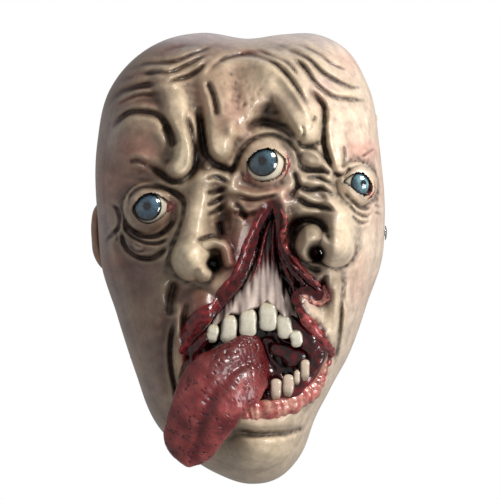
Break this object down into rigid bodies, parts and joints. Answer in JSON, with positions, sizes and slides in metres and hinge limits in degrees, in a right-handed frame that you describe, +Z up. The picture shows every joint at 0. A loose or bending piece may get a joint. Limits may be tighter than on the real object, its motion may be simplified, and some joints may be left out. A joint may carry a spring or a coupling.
{
  "type": "latex halloween mask",
  "caption": "Latex monster face mask with bulging eyes, fused noses, a torn open mouth with teeth, a hanging tongue that lifts, and an adjustable elastic head strap.",
  "frame": {"origin": "middle of the wearer's head at eye level, where the mask is held up in use", "axes": "+X to the viewer's right, +Y from the face towards the back of the head, +Z up"},
  "size_m": [0.2, 0.2435, 0.3086],
  "materials": {
    "latex_skin": "semi-gloss painted latex",
    "eye_white": "gloss ivory",
    "eye_iris": "painted slate blue",
    "eye_lens": "clear gloss",
    "gauze": "woven cotton set in latex",
    "tooth": "gloss ivory-grey",
    "jaw_bone": "gloss pale pink-white latex",
    "gum": "gloss dark red latex",
    "tongue": "gloss dusky red latex",
    "lining": "gloss near-black red latex",
    "elastic": "woven black elastic",
    "steel": "satin",
    "plastic": "matte black",
    "foam": "open-cell foam"
  },
  "bodies": {
    "mask": {"face_skin": "latex_skin", "eye_left_dome": "eye_white", "eye_left_lens": "eye_lens", "eye_left_iris": "eye_iris", "eye_left_backing": "gauze", "eye_middle_dome": "eye_white", "eye_middle_lens": "eye_lens", "eye_middle_iris": "eye_iris", "eye_middle_backing": "gauze", "eye_right_dome": "eye_white", "eye_right_lens": "eye_lens", "eye_right_iris": "eye_iris", "eye_right_backing": "gauze", "upper_jaw": "jaw_bone", "lower_gum": "gum", "upper_tooth_1": "tooth", "upper_tooth_2": "tooth", "upper_tooth_3": "tooth", "upper_tooth_4": "tooth", "upper_tooth_5": "tooth", "upper_tooth_6": "tooth", "lower_tooth_1": "tooth", "lower_tooth_2": "tooth", "lower_tooth_3": "tooth", "lower_tooth_4": "tooth", "mouth_lining": "lining", "tongue_root": "tongue", "strap_patch_left": "gauze", "rivet_left": "steel", "washer_left": "steel", "strap_patch_right": "gauze", "rivet_right": "steel", "washer_right": "steel", "forehead_pad": "foam"},
    "tongue": {"tongue_blade": "tongue"},
    "strap": {"strap_band": "elastic", "strap_tab": "elastic", "strap_ring": "steel"},
    "slider": {"slider_frame": "plastic"}
  },
  "joints": [
    {"name": "tongue_lift", "type": "hinge", "parent": "mask", "child": "tongue", "pos_m": [-0.0135, -0.1117, -0.1105], "axis": [-0.6283, 0, 0.778], "range_deg": [0, 40], "stiffness_Nm_per_rad": 0.03},
    {"name": "strap_swing", "type": "hinge", "parent": "mask", "child": "strap", "pos_m": [-0.0073, 0.003, -0.012], "axis": [1, 0, 0], "range_deg": [-25, 60]},
    {"name": "slider_run", "type": "hinge", "parent": "strap", "child": "slider", "pos_m": [-0.00729, 0.027, -0.012], "axis": [0, 0, -1], "range_deg": [-4, 90]}
  ]
}
